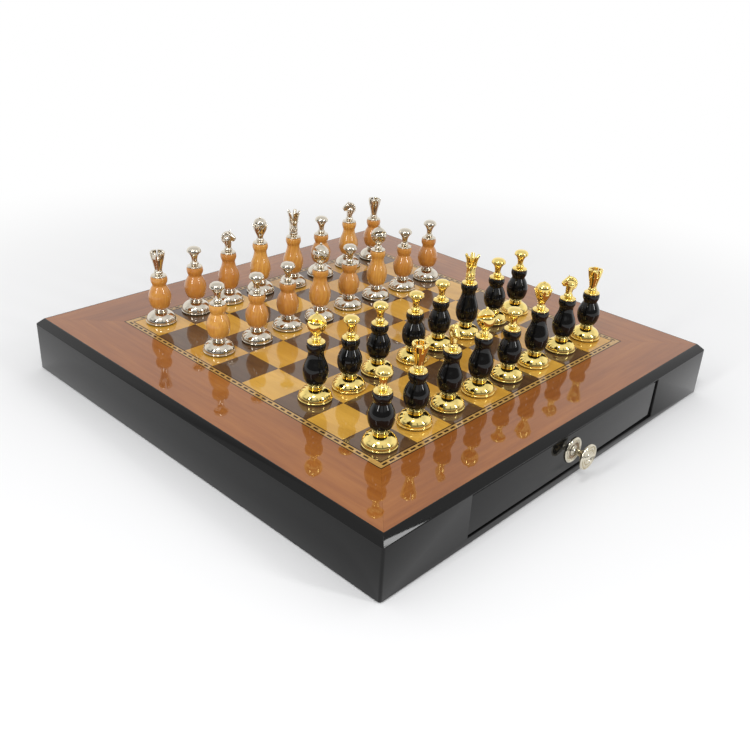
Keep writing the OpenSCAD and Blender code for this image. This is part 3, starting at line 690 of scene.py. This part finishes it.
def makeDrawers():
    wide, front, back = drawerLook["half"], drawerLook["front"], drawerLook["back"]
    face = block("drawerFront", (-wide, -front, drawerLook["low"]), (wide, -back, drawerLook["high"]))
    bpy.ops.object.mode_set(mode="EDIT")
    pick("EDGE", lambda middle, along: middle.y < (0.1 - front) * mm)
    bpy.ops.mesh.bevel(offset=drawerLook["edge"] * mm, segments=4, profile=0.5, affect="EDGES")
    bpy.ops.object.mode_set(mode="OBJECT")
    onFace = (Matrix.Translation((0, -front * mm, drawerLook["knobHeight"] * mm))
              @ Matrix.Rotation(math.radians(90), 4, "X"))
    bore = drawerLook["screwHole"]
    hole = turned("screwHole", [(0, -20), (bore, -20), (bore, 5), (0, 5)], 32)
    hole.data.transform(onFace)
    carve(face, hole)
    smoothBy(face, 35)
    plate = turned("knobPlate", drawerLook["plate"], 64)
    knob = turned("knob", drawerLook["knob"], 64)
    screw = turned("knobScrew", drawerLook["screw"], 32)
    slot = block("screwSlot", (-5, -0.5, -16), (5, 0.5, -13.2))
    carve(screw, slot)
    for piece in (plate, knob, screw):
        piece.data.transform(onFace)
        smoothBy(piece, 40)
    for end, turn in (("front", 0), ("rear", 180)):
        at = Matrix.Rotation(math.radians(turn), 4, "Z")
        for source, name, slotName, node in (
                (face, "DrawerFront", "black_lacquer", "_drawer_face"),
                (plate, "KnobPlate", "knob_metal", "_knob_plate"),
                (knob, "Knob", "knob_metal", "_knob"), (screw, "KnobScrew", "knob_metal", "_knob")):
            setDown(source, end + name, at, end + "_drawer", slotName, [end + node])
    for piece in (face, plate, knob, screw):
        bpy.data.objects.remove(piece)


makeCase()
makeDrawers()
print("case and drawer fronts modelled")


manLook = {
    "footRadius": 12.6,
    "footHeight": 12.2,
    "padHeight": 0.8,
    "neckRadius": 5.3,
    "bellyRadius": 9.3,
    "bellyRise": 10.2,
    "waistRadius": 5.6,
    "collarRadius": 6.9,
    "collarRise": 7.6,
    "plateRadius": 6.4,
    "plateEdge": 0.9,
    "bulbRadius": 3.6,
    "stemRise": 4.9,
    "stemRadius": 2.55,
    "bishopStemRadius": 2.2,
    "columnRadius": 3.8,
    # wooden height, full height, shoulder of the belly
    "pawn": (28, 58, 1.8),
    "rook": (28, 61.5, 1.8),
    "knight": (32.6, 65, 0.2),
    "bishop": (32.6, 68, 0.2),
    "queen": (33.9, 70, 0.2),
    "king": (33.9, 71, 0.2),
    "capRadius": 6.1,
    "capHeight": 4.3,
    "mitreRadius": 6.9,
    "coronetRadius": 7.4,
    "domeRadius": 5.5,
    "crestRadius": 5.7,
}

# the four ranks as they stand: rank, colour, men from the left file, and the rank's own shift
rankLook = [
    (0, "gold", "prnbpqnr", (0, 1)),
    (2, "gold", "bppppkpp", (1, 1)),
    (5, "silver", "pppbpbpp", (2, 0)),
    (7, "silver", "rpnqkpnr", (0, 5)),
]
# men set down off their rank's line: (file, rank) and the step in millimetres
offLine = {
    (0, 0): (-3.5, -4), (6, 0): (4.5, 1), (7, 0): (6.5, 1),
    (0, 2): (6, -0.5), (1, 2): (1, -4), (3, 2): (1, -3), (6, 2): (6, 2.5), (7, 2): (3.5, 2.5),
    (1, 5): (0.5, -3), (3, 5): (-2, -3), (7, 5): (2, 2.5),
    (4, 7): (-1.5, -6), (5, 7): (1, -2.5), (6, 7): (4, -1), (7, 7): (4, 0),
}
# which way each knight looks and each bishop's cleft opens: (file, rank) and degrees about Z
manTurn = {
    (2, 0): -115, (6, 0): 130, (2, 7): -45, (6, 7): 140,
    (3, 0): 232, (0, 2): 214, (3, 5): 176, (5, 5): 240,
}
kindNames = {"p": "pawn", "r": "rook", "n": "knight", "b": "bishop", "q": "queen", "k": "king"}


def footOutline():
    rim, neck, top = manLook["footRadius"], manLook["neckRadius"], manLook["footHeight"]
    low = manLook["padHeight"]
    points = [(0, low), (rim - 0.6, low)]
    points += bow((rim - 0.6, low), (rim - 0.2, low), (rim, low + 0.2), (rim, low + 0.6), 4)
    points += bow((rim, low + 0.6), (rim, low + 1.0), (rim - 0.15, low + 1.15), (rim - 0.45, low + 1.2), 3)
    points += bow((rim - 0.45, low + 1.2), (rim - 0.1, 5.6), (neck + 3.6, 8.7), (neck - 0.5, 9.44), 14)
    points += bead(neck - 0.5, 9.46, 10.62, 0.95)
    points += bead(neck - 0.6, 10.66, 11.36, 0.6)
    points += bow((neck - 0.6, 11.38), (neck - 0.75, 11.6), (neck - 0.9, 11.8), (neck - 0.9, top - 0.05), 4)
    return points + [(0, top - 0.05)]


def bodyOutline(kind):
    woodHeight, shoulder = manLook[kind][0], manLook[kind][2]
    seat = manLook["footHeight"]
    top = seat + woodHeight
    heel = manLook["neckRadius"] - 1
    belly, waist, collar = (manLook[k] for k in ("bellyRadius", "waistRadius", "collarRadius"))
    bellyAt = seat + manLook["bellyRise"]
    waistAt = top - manLook["collarRise"]
    points = [(0, seat), (heel, seat)]
    points += bow((heel, seat), (heel + 3, seat + 0.2), (belly, bellyAt - 4.6), (belly, bellyAt), 12)
    points += bow((belly, bellyAt), (belly, bellyAt + 7.2 - 2 * shoulder),
                  (waist + shoulder, waistAt - 6.4 + 2 * shoulder), (waist, waistAt), 14)
    points += bow((waist, waistAt), (waist, waistAt + 1.8), (collar, top - 5), (collar, top - 2.8), 9)
    points += bow((collar, top - 2.8), (collar, top - 1), (collar - 0.2, top), (collar - 0.9, top), 6)
    return points + [(0, top)]


def woodTop(kind):
    return manLook["footHeight"] + manLook[kind][0]


# every head starts as a flared plate with a bulb on it, up to its stem
def headStart(kind, stem):
    seat = woodTop(kind)
    rim, bulb = manLook["plateRadius"], manLook["bulbRadius"]
    edgeAt, stemAt = seat + manLook["plateEdge"], seat + manLook["stemRise"]
    points = [(0, seat + 0.02), (rim - 0.4, seat + 0.02)]
    points += bow((rim - 0.4, seat + 0.02), (rim, seat + 0.05), (rim + 0.05, edgeAt - 0.3),
                  (rim - 0.05, edgeAt), 5)
    points += bow((rim - 0.05, edgeAt), (rim - 0.5, edgeAt + 1.0), (bulb - 0.2, edgeAt + 0.5),
                  (bulb - 0.55, edgeAt + 1.3), 8)
    points += bow((bulb - 0.55, edgeAt + 1.3), (bulb + 0.15, edgeAt + 1.5), (bulb + 0.3, stemAt - 1.0),
                  (stem + 0.25, stemAt - 0.2), 8)
    return points + bow((stem + 0.25, stemAt - 0.2), (stem + 0.05, stemAt - 0.1), (stem, stemAt),
                        (stem, stemAt + 0.3), 3)


def pawnHead():
    stem, cap, top = manLook["stemRadius"] - 0.1, manLook["capRadius"], manLook["pawn"][1]
    start = woodTop("pawn") + manLook["stemRise"] + 0.3
    capAt = top - manLook["capHeight"]
    points = headStart("pawn", stem)
    points += bow((stem, start), (stem - 0.1, start + 3.4), (0.5 * cap, capAt - 2.6),
                  (cap - 0.6, capAt - 0.3), 12)
    points += bow((cap - 0.6, capAt - 0.3), (cap, capAt - 0.2), (cap + 0.1, capAt + 0.4),
                  (cap - 0.1, capAt + 0.9), 6)
    points += bow((cap - 0.1, capAt + 0.9), (cap - 0.5, top - 1.2), (0.62 * cap, top), (0, top), 12)
    return turned("pawnHead", points, 48)


rookLook = {
    "wall": 5.2, "hollow": 3.3,  # the ring's radii, outside and inside
    "merlons": 6,
    "merlonHeight": 6,
    "merlonRun": (0.14, 0.86),  # where a merlon starts and ends in its share of the ring
    # each merlon is drawn up in steps: rise, and how far it spreads
    "rises": [(1.6, 1.05), (1.7, 1.06), (1.3, 1.04), (0.9, 1.0), (0.5, 0.95)],
    "rounding": 0.42,
}


# how far round its share of a ring a point lies, from 0 to 1
def ringSpot(middle, shares):
    share = 2 * math.pi / shares
    return (math.atan2(middle.y, middle.x) % share) / share


def rookHead():
    stem, top = manLook["stemRadius"] + 0.5, manLook["rook"][1]
    start = woodTop("rook") + manLook["stemRise"] + 0.3
    wall, hollow, sill = rookLook["wall"], rookLook["hollow"], top - rookLook["merlonHeight"]
    points = headStart("rook", stem)
    points += bow((stem, start), (stem, start + 2.0), (wall - 1.0, sill - 3.0),
                  (wall - 0.1, sill - 0.3), 12)
    points += [(wall, sill), (hollow, sill), (hollow - 0.5, sill - 0.8), (hollow - 1.2, sill - 1.5),
               (0, sill - 1.7)]
    piece = turned("rookHead", points, 60)
    # the merlons are drawn up out of the ring at the sill and lean outwards
    bpy.ops.object.mode_set(mode="EDIT")
    begin, end = rookLook["merlonRun"]

    def inMerlon(middle, normal):
        ring = hollow * mm < middle.xy.length < wall * mm and normal.z > 0.9
        onSill = abs(middle.z - sill * mm) < 0.01 * mm
        return ring and onSill and begin < ringSpot(middle, rookLook["merlons"]) < end
    pick("FACE", inMerlon)
    for rise, spread in rookLook["rises"]:
        bpy.ops.mesh.extrude_region_move(TRANSFORM_OT_translate={"value": (0, 0, rise * mm)})
        bpy.ops.transform.resize(value=(spread, spread, 1), center_override=(0, 0, 0))
    bpy.ops.mesh.normals_make_consistent(inside=False)
    bpy.ops.object.mode_set(mode="OBJECT")
    finish(piece, "BEVEL", width=rookLook["rounding"] * mm, segments=3, limit_method="ANGLE",
           angle_limit=math.radians(42))
    return piece


bishopLook = {
    "bead": 1.6,
    "mitre": 7.4,              # from the widest ring up to the bead
    "cleft": 2.0, "lean": 40,  # width, and degrees above the level
    "cleftFrom": -1.2,         # its inner end, before it is turned up
}


def bishopHead():
    stem, mitre, top = manLook["bishopStemRadius"], manLook["mitreRadius"], manLook["bishop"][1]
    start = woodTop("bishop") + manLook["stemRise"] + 0.3
    beadAt = top - bishopLook["bead"]
    mitreAt = beadAt - bishopLook["mitre"]
    points = headStart("bishop", stem)
    points += bow((stem, start), (stem, start + 2.8), (mitre, start + 3.2), (mitre, mitreAt), 14)
    points += bow((mitre, mitreAt), (mitre, mitreAt + 4.4), (2.8, beadAt - 0.9), (0.75, beadAt), 14)
    points += bow((0.75, beadAt), (1.1, beadAt + 0.1), (1.15, beadAt + 1.1), (0.6, top - 0.12), 5)
    points += [(0, top)]
    piece = turned("bishopHead", points, 56)
    half = bishopLook["cleft"] / 2
    cleft = block("cleft", (bishopLook["cleftFrom"], -9, -half), (10, 9, half))
    cleft.data.transform(Matrix.Translation((0.4 * mm, 0, mitreAt * mm))
                         @ Matrix.Rotation(math.radians(-bishopLook["lean"]), 4, "Y"))
    carve(piece, cleft)
    finish(piece, "BEVEL", width=0.24 * mm, segments=3, limit_method="ANGLE", angle_limit=math.radians(50))
    return piece


queenLook = {
    "points": 8,
    "pointsDown": 5.8,   # from the top to the points' tips
    "pointLength": 3.4,
    # from the point to the middle of the gap: from and to in shares, and how far the rim is drawn down
    "gaps": [(0.06, 0.18, 0.9), (0.18, 0.31, 1.9), (0.31, 0.43, 2.6), (0.43, 0.5, 2.9)],
    "lowerShare": 0.72,  # how much of that the ring under the rim follows
}


def queenHead():
    stem, tip, dome, top = (manLook["stemRadius"], manLook["coronetRadius"], manLook["domeRadius"],
                            manLook["queen"][1])
    start = woodTop("queen") + manLook["stemRise"] + 0.3
    root, tipAt = dome + 0.8, top - queenLook["pointsDown"]
    rootAt = tipAt - queenLook["pointLength"]
    underTip = (tip - 0.5, tipAt - 1.2)
    points = headStart("queen", stem)
    points += bow((stem, start), (stem, start + 2.8), (root - 1, rootAt - 4.5), (root, rootAt), 14)
    points += [underTip, (tip, tipAt), (tip - 1, tipAt), (dome + 0.4, rootAt + 0.3), (0, rootAt + 0.2)]
    piece = turned("queenCoronet", points, 64)
    # between the eight points the rim is drawn down along its slope, most in the middle
    bpy.ops.object.mode_set(mode="EDIT")
    for near, far, drop in queenLook["gaps"]:
        def inGap(middle):
            spot = ringSpot(middle, queenLook["points"])
            return near < min(spot, 1 - spot) <= far

        def onRim(middle, normal):
            return middle.z > (tipAt - 0.1) * mm and inGap(middle)

        def underRim(middle, normal):
            return (abs(middle.z - underTip[1] * mm) < 0.05 * mm and middle.xy.length > (tip - 0.7) * mm
                    and inGap(middle))
        pull = 1 - drop * (tip - root) / (tipAt - rootAt) / tip
        for test, share in ((onRim, 1), (underRim, queenLook["lowerShare"])):
            pick("VERT", test)
            bpy.ops.transform.translate(value=(0, 0, -drop * share * mm))
            bpy.ops.transform.resize(value=(pull, pull, 1), center_override=(0, 0, 0))
    bpy.ops.object.mode_set(mode="OBJECT")
    finish(piece, "BEVEL", width=0.16 * mm, segments=2, limit_method="ANGLE", angle_limit=math.radians(50))
    outline = [(0, rootAt - 0.2), (dome, rootAt - 0.2)]
    outline += bow((dome, rootAt - 0.2), (dome + 1.0, rootAt + 5.8), (4.0, top - 1.1), (0.8, top - 1.0), 16)
    outline += bow((0.8, top - 1.0), (1.1, top - 0.95), (1.1, top - 0.3), (0.6, top - 0.1), 6) + [(0, top)]
    return joined("queenHead", [piece, turned("queenDome", outline, 48)])


kingLook = {
    "bandDown": 9.6,     # from the top to the band under the crown
    "ribs": 3, "ribPitch": 0.8, "ribHeight": 0.75, "ribSwell": 0.3,
    "root": 4.3, "hollow": 2.1,  # the crown's ring, outside and inside
    "spikes": 5,
    "spikeWidth": 0.76,  # of its share of the ring
    # each spike goes up in steps, bending outwards and growing thin: rise, lean, slimming
    "rises": [(1.2, 0.10, 0.96), (1.6, 0.35, 0.97), (1.7, 0.55, 0.97), (1.5, 0.65, 0.96),
              (1.1, 0.50, 0.92), (0.7, 0.15, 0.80), (0.3, 0.00, 0.55)],
}


def kingHead():
    column, top = manLook["columnRadius"], manLook["king"][1]
    start = woodTop("king") + manLook["stemRise"] + 0.3
    bandAt = top - kingLook["bandDown"]
    points = headStart("king", column)
    points += [(column, start), (column - 0.15, start + 0.3), (column - 0.15, start + 1.3)]
    for k in range(kingLook["ribs"]):
        ribAt = start + 1.4 + kingLook["ribPitch"] * k
        points += bead(column - 0.15, ribAt, ribAt + kingLook["ribHeight"], kingLook["ribSwell"], 5)
    points.append((column - 0.15, bandAt - 1.4))
    points += bead(column - 0.1, bandAt - 1.35, bandAt - 0.35, 0.45)
    points += bead(column, bandAt - 0.3, bandAt + 0.75, 0.75)
    root, hollow, ringAt = kingLook["root"], kingLook["hollow"], bandAt + 1.5
    points += [(column + 0.15, bandAt + 0.85), (root, ringAt), (hollow, ringAt),
               (hollow - 0.3, ringAt - 0.8), (0, ringAt - 1)]
    piece = turned("kingHead", points, 50)
    share = 2 * math.pi / kingLook["spikes"]
    bpy.ops.object.mode_set(mode="EDIT")
    for k in range(kingLook["spikes"]):
        turn = (k + 0.5) * share

        def inSpike(middle, normal):
            away = (math.atan2(middle.y, middle.x) - turn + math.pi) % (2 * math.pi) - math.pi
            onRing = abs(middle.z - ringAt * mm) < 0.01 * mm and middle.xy.length > hollow * mm
            return onRing and normal.z > 0.9 and abs(away) < share * kingLook["spikeWidth"] / 2
        pick("FACE", inSpike)
        for rise, lean, slim in kingLook["rises"]:
            step = (lean * math.cos(turn) * mm, lean * math.sin(turn) * mm, rise * mm)
            bpy.ops.mesh.extrude_region_move(TRANSFORM_OT_translate={"value": step})
            mesh = bmesh.from_edit_mesh(piece.data)
            chosen = [v.co for v in mesh.verts if v.select]
            middle = sum(chosen, Vector()) / len(chosen)
            bpy.ops.transform.resize(value=(slim, slim, 1), center_override=middle)
    bpy.ops.object.mode_set(mode="OBJECT")
    finish(piece, "BEVEL", width=0.18 * mm, segments=2, limit_method="ANGLE", angle_limit=math.radians(50))
    return piece


def ball(spot, size, turn=0, roll=0):
    # a stretched ball at (x, y, z) with its three half widths, all in millimetres
    bpy.ops.mesh.primitive_uv_sphere_add(segments=24, ring_count=16, radius=1,
                                         location=[v * mm for v in spot],
                                         rotation=(0, math.radians(turn), math.radians(roll)))
    bpy.context.object.scale = [v * mm for v in size]
    return bpy.context.object


knightLook = {
    # chains of balls from one (x, z, radius) to another, and how many; from the crest's middle
    "chains": [
        ((2.0, 2.4, 2.6), (4.9, 0.1, 2.0), 7),
        ((1.4, 0.4, 2.6), (4.4, -1.1, 1.7), 6),
        ((0.0, -6.0, 2.9), (-0.5, -1.6, 3.4), 5),
    ],
    # the crest is an arch of balls round the back: reach, half widths, from and to in degrees
    "arch": (2.2, (3.2, 2.1, 3.2), 50, 250),
    "locks": 13,
    "lockFrom": 62, "lockTo": 256,
    "lockReach": 4.65,
    "lock": (1.35, 1.15, 0.66),
    "ear": (1.3, 1.15, 2.2),   # x, y and half its height
    # on either side: (x, y, z), three half widths, and its turn
    "eye": ((3.0, 1.8, 2.6), (0.75, 0.5, 0.55), 35),
    "nostril": ((6.1, 1.1, 0.4), (0.5, 0.45, 0.4), 45),
    "mouth": (6.3, -1.0),      # x and z
    "voxel": 0.18,
}


def knightHead():
    top, stem, crest = manLook["knight"][1], manLook["stemRadius"] + 0.1, manLook["crestRadius"]
    middle = top - 1.3 - crest
    points = headStart("knight", stem)
    points += [(stem, middle - 0.8 * crest), (stem + 0.2, middle - 0.6 * crest), (0, middle - 0.6 * crest)]
    dish = turned("knightDish", points, 48)
    startFresh()
    reach, size, begin, end = knightLook["arch"]
    lumps = [ball((reach * math.cos(a), 0, middle + reach * math.sin(a)), size)
             for a in (math.radians(begin + (end - begin) * k / 8) for k in range(9))]
    for (x0, z0, r0), (x1, z1, r1), count in knightLook["chains"]:
        for k in range(count):
            t = k / (count - 1)
            r = r0 + (r1 - r0) * t
            lumps.append(ball((x0 + (x1 - x0) * t, 0, middle + z0 + (z1 - z0) * t), (r, 0.92 * r, r)))
    for side in (-1, 1):
        # eyes, nostrils and ears
        for (x, y, z), size, turn in (knightLook["eye"], knightLook["nostril"]):
            lumps.append(ball((x, side * y, middle + z), size, turn))
        x, y, rise = knightLook["ear"]
        bpy.ops.mesh.primitive_cone_add(vertices=20, radius1=0.95 * mm, radius2=0.12 * mm,
                                        depth=2 * rise * mm,
                                        location=(x * mm, side * y * mm, (top - rise) * mm),
                                        rotation=(math.radians(side * -8), math.radians(6), 0))
        lumps.append(bpy.context.object)
    # the mane: two rows of locks that overlap like a braid round the back of the crest
    for row, side in enumerate((-1, 1)):
        for k in range(knightLook["locks"]):
            pitch = (knightLook["lockTo"] - knightLook["lockFrom"]) / knightLook["locks"]
            angle = math.radians(knightLook["lockFrom"] + pitch * (k + 0.5 * row))
            reach = knightLook["lockReach"]
            spot = (reach * math.cos(angle), side * 0.85, middle + reach * math.sin(angle))
            lumps.append(ball(spot, knightLook["lock"], -math.degrees(angle) + side * 16, side * 24))
    for lump in lumps:
        onlySelect(lump)
        bpy.ops.object.transform_apply(location=True, rotation=True, scale=True)
    head = joined("knightHorse", lumps)
    finish(head, "REMESH", mode="VOXEL", voxel_size=knightLook["voxel"] * mm, use_smooth_shade=True)
    finish(head, "SMOOTH", factor=0.5, iterations=2)
    # the mouth is cut in
    x, z = knightLook["mouth"]
    mouth = block("mouth", (-2.2, -4, -0.2), (1.8, 4, 0.2))
    mouth.data.transform(Matrix.Translation((x * mm, 0, (middle + z) * mm))
                         @ Matrix.Rotation(math.radians(38), 4, "Y"))
    carve(head, mouth)
    low = min(v.co.z for v in head.data.vertices)
    high = max(v.co.z for v in head.data.vertices)
    # the ears' tips end at the knight's full height
    for v in head.data.vertices:
        v.co.z = low + (v.co.z - low) * (top * mm - low) / (high - low)
    return joined("knightHead", [dish, head])


def makeMen():
    heads = {"pawn": pawnHead(), "rook": rookHead(), "knight": knightHead(), "bishop": bishopHead(),
             "queen": queenHead(), "king": kingHead()}
    foot = turned("manFoot", footOutline(), 64)
    inset, padTop = manLook["footRadius"] - 0.8, manLook["padHeight"] - 0.04
    pad = turned("manPad", [(0, 0), (inset - 0.2, 0), (inset, 0.15), (inset, padTop), (0, padTop)], 48)
    bodies = {kind: turned(kind + "Body", bodyOutline(kind), 56) for kind in heads}
    for piece in [foot, pad, *heads.values(), *bodies.values()]:
        smoothBy(piece, 32)
    print("chessmen modelled")
    counted = {}
    for rank, colour, letters, shift in rankLook:
        for file, letter in enumerate(letters):
            kind = kindNames[letter]
            counted[colour, kind] = counted.get((colour, kind), 0) + 1
            node = colour + "_" + kind + ("" if letter in "qk" else "_%d" % counted[colour, kind])
            step = offLine.get((file, rank), (0, 0))
            spot = Vector(((file - 3.5) * squareSide + shift[0] + step[0],
                           (rank - 3.5) * squareSide + shift[1] + step[1], 0)) * mm
            spot.z = caseLook["top"] * mm
            turn = math.radians(manTurn.get((file, rank), 0))
            at = Matrix.Translation(spot) @ Matrix.Rotation(turn, 4, "Z")
            words = node.split("_")
            name = words[0] + "".join(w.capitalize() for w in words[1:])
            metal = colour + "_men"
            wood = "dark_bodies" if colour == "gold" else "light_bodies"
            for source, part, slot in ((pad, "Pad", "green_felt"), (foot, "Foot", metal),
                                       (bodies[kind], "Body", wood), (heads[kind], "Head", metal)):
                setDown(source, name + part, at, node + "_man", slot, [node])
    for source in [foot, pad, *heads.values(), *bodies.values()]:
        bpy.data.objects.remove(source)
    print("chessmen set down:", sum(counted.values()))


makeMen()
